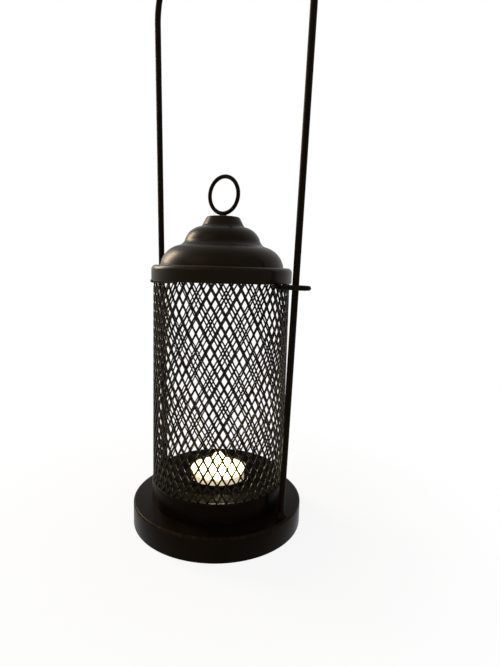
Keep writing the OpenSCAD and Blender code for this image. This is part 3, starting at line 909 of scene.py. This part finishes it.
class LANTERN_OT_base(bpy.types.Operator):
    """Turns the pressed pan of the base and the felt pad under it"""
    bl_idname = "lantern.base"
    bl_label = "Base"

    def execute(self, context):
        sizes = context.scene.lantern_sizes
        wall = sizes.sheet
        edge = sizes.base_edge
        hem = wall / 2
        inside = edge - wall
        pan = [(0, BASE_TOP)]
        pan += arc(BASE_R - edge, BASE_TOP - edge, edge, 90, 0, 10)
        pan += arc(BASE_R - hem, hem, hem, 0, -180, 10)
        pan += arc(BASE_R - wall - inside, BASE_TOP - wall - inside, inside, 0, 90, 6)
        pan += [(0, BASE_TOP - wall)]
        finished("pan_shell", turned(pan), pan_paint, "stand", "lantern_paint", "base_pan")
        soft = 0.8 * MM
        pad = [(0, 0)]
        pad += arc(PAD_R - soft, soft, soft, -90, 0, 6)
        pad += arc(PAD_R - soft, PAD_TOP - soft, soft, 0, 90, 6)
        pad += [(0, PAD_TOP)]
        finished("felt_pad", turned(pad), bottom_felt, "stand", "bottom_felt", "bottom_pad")
        return {"FINISHED"}


class LANTERN_OT_drum(bpy.types.Operator):
    """Turns the drum, its rivets and the cup that the tealight sits in"""
    bl_idname = "lantern.drum"
    bl_label = "Drum"

    def execute(self, context):
        sizes = context.scene.lantern_sizes
        wall = sizes.drum_sheet
        edge = sizes.drum_edge
        lip_r = high("tealight_seat").x
        lip_top = high("tealight_seat").z
        seat_foot = low("tealight_seat").z
        seat_gap = 0.5 * MM
        hole_gap = 0.1 * MM
        seat_in_r = CUP_R + seat_gap
        seat_out_r = seat_in_r + wall
        hole_r = seat_out_r + hole_gap
        self.drum(wall, edge, sizes.drum_bead, hole_r, DRUM_R - wall - sizes.flange)
        self.seat(wall, seat_in_r, seat_out_r, seat_foot, lip_r, lip_top)
        self.rivets(DRUM_R - wall - sizes.flange / 2)
        return {"FINISHED"}

    def drum(self, wall, edge, rise, hole_r, flange_r):
        """Drum with a low bead round its top edge, for the cage to stand on."""
        top = DRUM_TOP
        crest_r = DRUM_R - edge
        swell = ((1.6 * MM, 0), (1.1 * MM, 0.06 * MM), (0.6 * MM, 0.8 * rise))
        shell = [(hole_r, top)]
        shell += [(crest_r - inward, top + lift) for inward, lift in swell]
        shell += arc(crest_r, top + rise - edge, edge, 100, 0, 8)
        shell += [(DRUM_R, DRUM_FOOT), (flange_r, DRUM_FOOT), (flange_r, DRUM_FOOT + wall)]
        shell += arc(DRUM_R - 2 * wall, DRUM_FOOT + 2 * wall, wall, -90, 0, 5)
        shell += [(DRUM_R - wall, top - wall), (hole_r, top - wall)]
        finished("drum_shell", turned(shell), sooty_paint, "stand", "lantern_paint", "plinth")

    def seat(self, wall, in_r, out_r, foot, lip_r, lip_top):
        """Deep-drawn cup with a rolled lip."""
        round_r = wall / 2
        curl = 1.2 * MM
        corner = 1.4 * MM
        floor_top = foot + wall
        cup = [(0, foot)]
        cup += arc(out_r - corner, foot + corner, corner, -90, 0, 6)
        cup += [(out_r, lip_top - wall)]
        cup += arc(lip_r - round_r, lip_top - round_r, round_r, -90, 90, 8)
        cup += arc(in_r + curl, lip_top - curl, curl, 90, 180, 8)
        cup += arc(in_r - corner / 2, floor_top + corner / 2, corner / 2, 0, -90, 5)
        cup += [(0, floor_top)]
        finished("seat_cup", turned(cup), sooty_paint, "stand", "lantern_paint", "tealight_seat")

    def rivets(self, circle_r):
        """Three domed rivets through the drum's flange and the pan."""
        foot = low("plinth_rivets").z
        head = high("plinth_rivets").z
        dome_h = 1.0 * MM
        dome_r = 2.2 * MM
        shank_r = 1.2 * MM
        ball = (dome_r ** 2 + dome_h ** 2) / (2 * dome_h)
        open_angle = math.degrees(math.asin(dome_r / ball))
        profile = arc(0, head - ball, ball, 90, 90 - open_angle, 8)
        profile += [(shank_r, head - dome_h), (shank_r, foot + dome_h)]
        profile += arc(0, foot + ball, ball, open_angle - 90, -90, 8)
        ring = circled(turned(profile, SMALL_TURNS // 2), 3, circle_r, zinc, math.pi / 2)
        finished("rivet_heads", ring, zinc, "stand", "zinc", "plinth_rivets")


class LANTERN_OT_handle(bpy.types.Operator):
    """Bends the tall rod handle and fits its collars, washers and nuts"""
    bl_idname = "lantern.handle"
    bl_label = "Handle"

    def execute(self, context):
        foot_z = low("leg_collars").z
        arch_r = high("handle_frame").x - ROD_R
        arch_z = high("handle_frame").z - ROD_R - arch_r
        stud_r = 1.5 * MM
        washer_gap = 0.15 * MM
        nut_across = 5.5 * MM
        rod = wire(self.route(foot_z, arch_r, arch_z), ROD_R, ROD_SIDES, rod_paint)
        stud = thread(stud_r, low("handle_frame").z, foot_z)
        studs = circled(stud, 2, LEG_X, rod_paint)
        finished("handle_rod", joined(rod, studs), rod_paint, "stand", "rod_paint", "handle_frame")
        self.collars(foot_z, high("leg_collars").z)
        self.washers(stud_r + washer_gap)
        nut = hex_nut(nut_across, stud_r, low("leg_nuts").z, high("leg_nuts").z)
        nuts = circled(nut, 2, LEG_X, zinc)
        finished("hex_nuts", nuts, zinc, "stand", "zinc", "leg_nuts")
        return {"FINISHED"}

    def route(self, foot_z, arch_r, arch_z, leg_steps=24, arch_steps=72):
        """Middle line of the rod: up one leg, over the arch and down the other leg."""
        drop = arch_z - foot_z
        lean = math.atan2(drop, LEG_X) - math.acos(arch_r / math.hypot(LEG_X, drop))
        foot = Vector((LEG_X, 0, foot_z))
        shoulder = Vector((arch_r * math.cos(lean), 0, arch_z - arch_r * math.sin(lean)))
        right = [foot.lerp(shoulder, step / leg_steps) for step in range(leg_steps)]
        past = math.degrees(lean)
        arch = [Vector((x, 0, z)) for x, z in arc(0, arch_z, arch_r, -past, 180 + past, arch_steps)]
        left = [Vector((-point.x, 0, point.z)) for point in reversed(right)]
        return right + arch + left

    def collars(self, foot, head):
        """Flared collars where the legs meet the base."""
        wide_r = high("leg_collars").y
        neck_r = ROD_R + 0.65 * MM
        bore_r = ROD_R + 0.05 * MM
        hem = 0.3 * MM
        waist = (neck_r + 0.35 * (wide_r - neck_r), foot + 0.45 * (head - foot))
        flare = [(bore_r, foot), (wide_r - hem, foot)]
        flare += arc(wide_r - hem, foot + hem, hem, -90, 60, 5)
        flare += [waist]
        flare += arc(neck_r - hem, head - hem, hem, 20, 90, 5)
        flare += [(bore_r, head)]
        pair = circled(turned(flare, SMALL_TURNS), 2, LEG_X, rod_paint)
        finished("flared_collars", pair, rod_paint, "stand", "rod_paint", "leg_collars")

    def washers(self, bore_r):
        """Flat washers with rounded rims."""
        foot = low("leg_washers").z
        head = high("leg_washers").z
        rim = 0.15 * MM
        ring = [(bore_r, foot)]
        ring += arc(WASHER_R - rim, foot + rim, rim, -90, 0, 4)
        ring += arc(WASHER_R - rim, head - rim, rim, 0, 90, 4)
        ring += [(bore_r, head)]
        pair = circled(turned(ring, SMALL_TURNS), 2, LEG_X, zinc)
        finished("flat_washers", pair, zinc, "stand", "zinc", "leg_washers")


# Pieces of the cage

class LANTERN_OT_mesh_cage(bpy.types.Operator):
    """Rolls the expanded mesh and the hoop that stiffens its head"""
    bl_idname = "lantern.mesh_cage"
    bl_label = "Mesh cage"

    def execute(self, context):
        sizes = context.scene.lantern_sizes
        tilt = sizes.strand_tilt
        proud = (sizes.strand_w * math.sin(tilt) + sizes.strand_d * math.cos(tilt)) / 2
        values = {
            "Radius": MESH_R - proud, "Foot": MESH_FOOT, "Height": MESH_TOP - MESH_FOOT,
            "Diamonds Round": sizes.diamonds_round, "Half Rows": sizes.half_rows,
            "Strand Width": sizes.strand_w, "Strand Depth": sizes.strand_d,
            "Strand Tilt": tilt, "Strand Ease": sizes.strand_ease,
        }
        lattice = grown(expanded_mesh_tree, path_mesh([(0, 0, 0)]), mesh_paint, values)
        finished("expanded_mesh", lattice, mesh_paint, "cage", "mesh_paint", "mesh_cage")
        foot = low("top_hoop").z
        head = high("top_hoop").z
        strand_gap = 0.3 * MM
        out_r = high("top_hoop").x - strand_gap
        in_r = out_r - sizes.sheet
        hem = sizes.sheet / 2
        band = arc(out_r - hem, head - hem, hem, 180, 0, 8)
        band += arc(in_r + hem, foot + hem, hem, 0, -180, 8)
        finished("stiffening_hoop", turned(band), mesh_paint, "cage", "mesh_paint", "top_hoop")
        return {"FINISHED"}


class LANTERN_OT_roof(bpy.types.Operator):
    """Turns the stepped roof from one sheet"""
    bl_idname = "lantern.roof"
    bl_label = "Roof"

    def execute(self, context):
        sizes = context.scene.lantern_sizes
        wall = sizes.sheet
        hem = wall / 2
        corner = sizes.rim_corner
        shoulder_r = sizes.dome_foot - math.sqrt(sizes.lower_dome ** 2 - sizes.dome_sink ** 2)
        upper_dome = shoulder_r - sizes.cap_foot
        upper = Vector((sizes.cap_foot, ROOF_TOP - sizes.cap_h - upper_dome))
        lower = Vector((shoulder_r, upper.y - sizes.lower_dome))
        ledge = lower.y + sizes.dome_sink
        foot_angle = math.degrees(math.asin(sizes.dome_sink / sizes.lower_dome))
        crease = meet(lower, sizes.lower_dome + sizes.hollow, upper, upper_dome + sizes.hollow)

        # The hollow under the cap touches the upper dome and the cap's sloping side
        edge = Vector((sizes.cap_r - sizes.cap_edge, ROOF_TOP - sizes.cap_edge))
        out = Vector((math.cos(sizes.cap_slope), math.sin(sizes.cap_slope)))
        reach = (edge - upper).dot(out) + sizes.cap_edge + sizes.cap_hollow
        climb = math.sqrt((upper_dome + sizes.cap_hollow) ** 2 - reach ** 2)
        neck = upper + reach * out + climb * Vector((-out.y, out.x))
        slope = math.degrees(sizes.cap_slope)

        outside = arc(RIM_R - hem, RIM_FOOT + hem, hem, -180, 0, 8)
        outside += arc(RIM_R - corner, ledge - corner, corner, 0, 90, 12)
        outside += arc(*lower, sizes.lower_dome, foot_angle, heading(lower, crease), 28)
        outside += arc(*crease, sizes.hollow, heading(crease, lower), heading(crease, upper), 16)
        outside += arc(*upper, upper_dome, heading(upper, crease), heading(upper, neck), 26)
        outside += arc(*neck, sizes.cap_hollow, heading(neck, upper), 180 + slope, 12)
        outside += arc(*edge, sizes.cap_edge, slope, 90, 8)
        outside += [(0, ROOF_TOP)]

        lower_in = sizes.lower_dome - wall
        end = math.degrees(math.asin((sizes.dome_sink - wall) / lower_in))
        inside = [(0, ROOF_TOP - wall), (sizes.cap_r - wall, ROOF_TOP - wall)]
        inside += arc(*upper, upper_dome - wall, 90, heading(upper, crease), 20)
        inside += arc(*crease, sizes.hollow + wall, heading(crease, upper), heading(crease, lower), 12)
        inside += arc(*lower, lower_in, heading(lower, crease), end, 20)
        inside += arc(RIM_R - corner, ledge - corner, corner - wall, 90, 0, 8)
        finished("roof_sheet", turned(outside + inside), lantern_paint, "cage", "lantern_paint",
                 "roof", "roof_crown")
        return {"FINISHED"}


class LANTERN_OT_eyes(bpy.types.Operator):
    """Bends the two guide eyes that slide on the legs, and welds them to the rim"""
    bl_idname = "lantern.eyes"
    bl_label = "Guide eyes"

    def execute(self, context):
        for side, node in ((1, "guide_eye_right"), (-1, "guide_eye_left")):
            lowest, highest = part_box(node)
            wire_r = (highest.z - lowest.z) / 2
            middle_z = lowest.z + wire_r
            half_w = highest.y - wire_r
            reach = max(abs(lowest.x), abs(highest.x))
            root = min(abs(lowest.x), abs(highest.x))
            bend_x = reach - wire_r - half_w
            route = [(side * root, -half_w, middle_z)]
            route += [(side * x, y, middle_z) for x, y in arc(bend_x, 0, half_w, -90, 90, 32)]
            route.append((side * root, half_w, middle_z))
            loop = wire(route, wire_r, EYE_SIDES, rod_paint)
            weld = (1.9 * MM, 1.7 * MM, 1.2 * MM)
            weld_x = side * (root + 0.9 * MM)
            weld_z = middle_z + 0.7 * MM
            drops = [bead((weld_x, y, weld_z), weld) for y in (-half_w, half_w)]
            finished(f"{node}_wire", joined(loop, *drops), rod_paint, "cage", "rod_paint", node)
        return {"FINISHED"}


class LANTERN_OT_lifting_ring(bpy.types.Operator):
    """Bends the lifting ring and fits its collar, shank and nut"""
    bl_idname = "lantern.lifting_ring"
    bl_label = "Lifting ring"

    def execute(self, context):
        foot = low("ring_boss").z
        head = high("ring_boss").z
        neck_top = RING_Z - RING_R
        steps = 96
        loop = [(x, 0, RING_Z + y) for x, y, _ in circle_points(RING_R, 0, steps)]
        ring = wire(loop, RING_WIRE_R, ROD_SIDES, rod_paint, closed=True)
        shank = thread(RING_WIRE_R, low("lifting_ring").z, foot)
        neck = [(0, foot), (RING_WIRE_R, foot), (RING_WIRE_R, neck_top), (0, neck_top)]
        bail = joined(ring, shank, turned(neck, SMALL_TURNS))
        finished("ring_wire", bail, rod_paint, "cage", "rod_paint", "lifting_ring")

        wide_r = high("ring_boss").x
        hem = 0.35 * MM
        narrow_r = wide_r - 0.5 * (head - foot)
        collar = [(RING_WIRE_R, foot), (wide_r, foot)]
        collar += arc(wide_r - hem, foot + hem, hem, 0, 45, 3)
        collar += arc(narrow_r - hem, head - hem, hem, 45, 90, 4)
        collar += [(RING_WIRE_R, head)]
        cone = turned(collar, SMALL_TURNS)
        finished("ring_collar", cone, lantern_paint, "cage", "lantern_paint", "ring_boss")
        across = high("ring_nut").y - low("ring_nut").y
        nut = hex_nut(across, RING_WIRE_R, low("ring_nut").z, high("ring_nut").z)
        finished("ring_hex_nut", nut, zinc, "cage", "zinc", "ring_nut")
        return {"FINISHED"}


# Pieces of the tealight

class LANTERN_OT_tealight(bpy.types.Operator):
    """Makes the burning tealight: clear cup, wax, wick, tab and flame"""
    bl_idname = "lantern.tealight"
    bl_label = "Tealight"

    def execute(self, context):
        cup_wall = low("tealight_wax").z - CUP_FOOT
        wax_gap = 0.04 * MM
        self.cup(cup_wall)
        self.wax(CUP_R - cup_wall - wax_gap)
        self.tab()
        self.wick()
        self.candle_light(context, self.flame(context))
        return {"FINISHED"}

    def cup(self, wall):
        """Moulded cup with a rounded rim and a small foot ring."""
        rim = wall / 2
        corner = 1.5 * MM
        ring_h = 0.25 * MM
        ring_in_r = CUP_R - 4.0 * MM
        ring_out_r = CUP_R - 3.6 * MM
        cup = [(0, CUP_FOOT + ring_h), (ring_in_r, CUP_FOOT + ring_h), (ring_out_r, CUP_FOOT)]
        cup += arc(CUP_R - corner, CUP_FOOT + corner, corner, -90, 0, 8)
        cup += arc(CUP_R - rim, CUP_TOP - rim, rim, 0, 180, 8)
        inner = corner - wall
        cup += arc(CUP_R - wall - inner, CUP_FOOT + wall + inner, inner, 0, -90, 6)
        cup += [(0, CUP_FOOT + wall)]
        shell = turned(cup, TEALIGHT_TURNS)
        finished("clear_cup_shell", shell, clear_cup, "tealight", "clear_cup", "tealight_cup")

    def wax(self, radius):
        """Wax with a melted pool: it climbs a little at the cup and at the wick."""
        floor_gap = 0.03 * MM
        foot = low("tealight_wax").z + floor_gap
        pool = 0.5 * MM
        cup_reach = 1.1 * MM
        wick_reach = 0.9 * MM
        wick_climb = 0.8
        corner = 1.0 * MM
        profile = [(0, foot)]
        profile += arc(radius - corner, foot + corner, corner, -90, 0, 6)
        rings = 24
        for step in range(rings + 1):
            at = radius * (1 - step / rings)
            at_cup = math.exp(-(radius - at) / cup_reach)
            at_wick = wick_climb * math.exp(-max(at - WICK_R, 0) / wick_reach)
            profile.append((at, WAX_TOP - pool + pool * min(at_cup + at_wick, 1.0)))
        body = turned(profile, TEALIGHT_TURNS)
        finished("wax_body", body, wax, "tealight", "wax", "tealight_wax")

    def tab(self):
        """Stamped tab with a raised neck that grips the wick."""
        foot = low("wick_tab").z
        head = high("wick_tab").z
        out_r = high("wick_tab").x
        neck_r = WICK_R + 0.5 * MM
        neck_h = 2.2 * MM
        rim = (head - foot) / 2
        profile = [(WICK_R, foot)]
        profile += arc(out_r - rim, foot + rim, rim, -90, 90, 6)
        profile += arc(neck_r + rim, head + rim, rim, -90, -180, 5)
        profile += [(neck_r, head + neck_h), (WICK_R, head + neck_h)]
        finished("tin_tab", turned(profile, SMALL_TURNS), tab_tin, "tealight", "tab_tin", "wick_tab")

    def wick(self):
        """Round wick that curls over at its burnt end."""
        foot = low("tealight_wick").z
        curl_x = -0.96 * MM
        curl_y = 0.72 * MM
        steps = 26
        route = []
        for step in range(steps + 1):
            z = foot + (WICK_TOP - foot) * step / steps
            bent = max(z - WAX_TOP, 0) / (WICK_TOP - WAX_TOP)
            route.append((curl_x * bent ** 2, curl_y * bent ** 2, z))
        cord = wire(route, WICK_R, WICK_SIDES, wick_cotton)
        finished("burnt_wick", cord, wick_cotton, "tealight", "wick_cotton", "tealight_wick")

    def flame(self, context):
        """Small flame round the wick's end, widest below its middle."""
        sizes = context.scene.lantern_sizes
        foot = flame_foot(sizes.flame_h)
        droop = 0.72
        fullness = 0.85
        steps = 22
        turns = 28
        rings = []
        for step in range(steps + 1):
            climb = step / steps
            radius = sizes.flame_w / 2 * math.sin(math.pi * climb ** droop) ** fullness
            rings.append(circle_points(radius, foot + sizes.flame_h * climb, turns))
        flame = finished("flame", skin(rings, False), flame_light, "tealight", None)
        flame.visible_shadow = False
        return flame

    def candle_light(self, context, flame):
        """The light that the flame gives, which moves with it."""
        sizes = context.scene.lantern_sizes
        lamp = bpy.data.lights.new("candle_light", "POINT")
        lamp.color = context.scene.lantern_finish.flame_core
        lamp.energy = context.scene.lantern_stage.candle_power
        lamp.shadow_soft_size = sizes.flame_w * 0.45
        glow = linked("candle_light", lamp)
        glow.location = (0, 0, flame_foot(sizes.flame_h) + sizes.flame_h / 2)
        glow.parent = flame


# Stage

# The photograph's height and the fitted focal length in pixels, and the film's long side in millimetres
PHOTO_TALL = 667
FOCAL_PIXELS = 463.6
FILM = 36.0

# The floor lies a little under the base, so that the two never share a plane
FLOOR_R = 6.0
FLOOR_SIDES = 72
FLOOR_Z = -0.05 * MM

# A lamp's width and height, its tint, and its place right of the aim, beyond it and above it
LAMP_AIM = Vector((0, 0, 0.11))
KEY_SIZE = (0.24, 0.38)
KEY_TINT = (1.0, 0.84, 0.62)
KEY_PLACE = (-0.62, 0.40, 0.36)
FILL_SIZE = (0.6, 0.6)
FILL_TINT = (1.0, 0.93, 0.84)
FILL_PLACE = (-0.7, -0.55, 0.7)


class LANTERN_OT_stage(bpy.types.Operator):
    """Sets the pale floor, the soft light and the camera"""
    bl_idname = "lantern.stage"
    bl_label = "Stage"

    def execute(self, context):
        stage = context.scene.lantern_stage
        context.scene.view_settings.view_transform = "Standard"
        camera = self.camera(stage)
        context.scene.camera = camera
        context.scene.world = self.world(stage)
        self.floor(stage)
        self.lamp(camera, "key_lamp", stage.key_power, KEY_SIZE, KEY_TINT, KEY_PLACE)
        self.lamp(camera, "fill_lamp", stage.fill_power, FILL_SIZE, FILL_TINT, FILL_PLACE)
        return {"FINISHED"}

    def camera(self, stage):
        """Camera at the photograph's place and angle."""
        bearing = stage.camera_bearing
        ahead = Vector((-math.sin(bearing), math.cos(bearing), 0))
        ahead = Matrix.Rotation(-stage.camera_yaw, 3, "Z") @ ahead
        ahead = ahead * math.cos(stage.camera_pitch) - Vector((0, 0, math.sin(stage.camera_pitch)))
        level = ahead.cross(Vector((0, 0, 1))).normalized()
        upright = level.cross(ahead)
        right = level * math.cos(stage.camera_roll) + upright * math.sin(stage.camera_roll)
        above = upright * math.cos(stage.camera_roll) - level * math.sin(stage.camera_roll)
        lens = bpy.data.cameras.new("camera")
        lens.sensor_width = FILM
        lens.lens = FOCAL_PIXELS / PHOTO_TALL * FILM
        lens.clip_start = 0.01
        camera = linked("camera", lens)
        place = Vector((math.sin(bearing), -math.cos(bearing), 0)) * stage.camera_distance
        place.z = stage.camera_height
        turn = Matrix((right, above, -ahead)).transposed().to_4x4()
        camera.matrix_world = Matrix.Translation(place) @ turn
        return camera

    def backdrop_rays(self, tree):
        """1 for rays that show the backdrop: seen straight, mirrored or through something clear."""
        rays = add(tree, "ShaderNodeLightPath").outputs
        seen = calc(tree, "ADD", rays["Is Camera Ray"], rays["Is Glossy Ray"])
        return calc(tree, "MINIMUM", calc(tree, "ADD", seen, rays["Is Transmission Ray"]), 1.0)

    def world(self, stage):
        """White to look at, dim and even as a light."""
        world = bpy.data.worlds.new("studio")
        world.use_nodes = True
        tree = world.node_tree
        tree.nodes.clear()
        glow = {"Color": (1.0, 0.97, 0.93, 1), "Strength": stage.ambient}
        dim = given_by(tree, "ShaderNodeBackground", glow)
        white = given_by(tree, "ShaderNodeBackground", {"Color": (1, 1, 1, 1), "Strength": 1.0})
        both = given_by(tree, "ShaderNodeMixShader", {0: self.backdrop_rays(tree), 1: dim, 2: white})
        add(tree, "ShaderNodeOutputWorld", {"Surface": both})
        return world

    def floor_material(self, stage):
        """Pale matt paint that keeps the lantern's shadow, and fades to plain white around it."""
        made = bpy.data.materials.new("pale_floor")
        made.use_nodes = True
        tree = made.node_tree
        tree.nodes.clear()
        matt = given_by(tree, "ShaderNodeBsdfDiffuse", {"Color": (0.86, 0.85, 0.84, 1)})
        white = given_by(tree, "ShaderNodeEmission", {"Color": (1, 1, 1, 1), "Strength": 1.0})
        away = add(tree, "ShaderNodeVectorMath", {0: own_place(tree)}, operation="LENGTH").outputs["Value"]
        whiter = ranged(tree, away, BASE_R, 4 * BASE_R, stage.floor_white, interpolation_type="SMOOTHSTEP")
        part = product(tree, self.backdrop_rays(tree), whiter)
        both = given_by(tree, "ShaderNodeMixShader", {0: part, 1: matt, 2: white})
        add(tree, "ShaderNodeOutputMaterial", {"Surface": both})
        return made

    def floor(self, stage):
        """Wide round floor."""
        rim = circle_points(FLOOR_R, FLOOR_Z, FLOOR_SIDES)
        mesh = bpy.data.meshes.new("floor")
        mesh.from_pydata(rim, [], [list(range(len(rim)))])
        mesh.materials.append(self.floor_material(stage))
        linked("floor", mesh)

    def lamp(self, camera, name, power, size, tint, offset):
        """A flat lamp that faces the aim, placed to the right, ahead and above as the camera sees it."""
        light = bpy.data.lights.new(name, "AREA")
        light.shape = "RECTANGLE"
        light.size, light.size_y = size
        light.energy = power
        light.color = tint
        lamp = linked(name, light)
        right = camera.matrix_world.to_3x3().col[0].copy()
        right.z = 0
        right.normalize()
        ahead = Vector((0, 0, 1)).cross(right)
        lamp.location = LAMP_AIM + right * offset[0] + ahead * offset[1] + Vector((0, 0, offset[2]))
        lamp.rotation_euler = (LAMP_AIM - lamp.location).to_track_quat("-Z", "Y").to_euler()


# Add-on

STEPS = (
    LANTERN_OT_stage, LANTERN_OT_base, LANTERN_OT_drum, LANTERN_OT_handle, LANTERN_OT_mesh_cage,
    LANTERN_OT_roof, LANTERN_OT_eyes, LANTERN_OT_lifting_ring, LANTERN_OT_tealight,
)


class LANTERN_PT_panel(bpy.types.Panel):
    """Lists the lantern's pieces and its settings"""
    bl_idname = "LANTERN_PT_panel"
    bl_label = "Lantern"
    bl_space_type = "VIEW_3D"
    bl_region_type = "UI"
    bl_category = "Lantern"

    def draw(self, context):
        for step in STEPS:
            self.layout.operator(step.bl_idname)
        for group in GROUPS:
            settings = getattr(context.scene, group)
            box = self.layout.box()
            for name in settings.__annotations__:
                box.prop(settings, name)


GROUPS = {"lantern_sizes": LanternSizes, "lantern_finish": LanternFinish, "lantern_stage": LanternStage}
CLASSES = (*GROUPS.values(), *STEPS, LANTERN_PT_panel)


def register():
    """Adds the classes and the scene's settings."""
    for cls in CLASSES:
        bpy.utils.register_class(cls)
    for name, group in GROUPS.items():
        setattr(bpy.types.Scene, name, PointerProperty(type=group))


def unregister():
    """Takes the settings and the classes away again."""
    for name in GROUPS:
        delattr(bpy.types.Scene, name)
    for cls in reversed(CLASSES):
        bpy.utils.unregister_class(cls)


def main():
    """Builds everything in order."""
    register()
    for step in STEPS:
        group, name = step.bl_idname.split(".")
        getattr(getattr(bpy.ops, group), name)()


if __name__ == "__main__":
    main()
